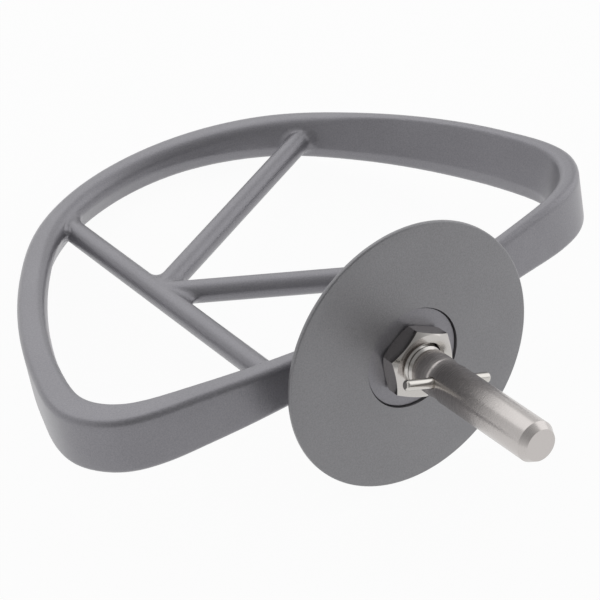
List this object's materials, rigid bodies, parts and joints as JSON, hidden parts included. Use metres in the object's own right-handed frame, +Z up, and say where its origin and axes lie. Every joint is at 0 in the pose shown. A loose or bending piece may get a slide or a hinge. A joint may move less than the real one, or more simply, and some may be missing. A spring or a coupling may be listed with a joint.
{
  "type": "stand mixer flat beater",
  "caption": "Flat beater for a stand mixer: a cast loop with a K inside it, a round splash guard, and a drive shaft with a cross pin and a lock nut.",
  "frame": {"origin": "on the surface it rests on, under the middle of its bounding box", "axes": "+Z up; +Y towards the tip of the loop, along the lying beater's length; +X across the loop, away from the K's spine"},
  "size_m": [0.1788, 0.2026, 0.078],
  "materials": {
    "coated_casting": "die casting with a satin grey non-stick coating",
    "coated_sheet": "pressed disc with a satin grey non-stick coating",
    "turned_steel": "turned and lightly polished",
    "pin_steel": "ground",
    "nut_steel": "bright machined"
  },
  "bodies": {
    "root": {"beater_frame": "coated_casting", "splash_guard": "coated_sheet", "drive_shaft": "turned_steel", "drive_pin": "pin_steel", "lock_nut": "nut_steel"}
  },
  "joints": []
}
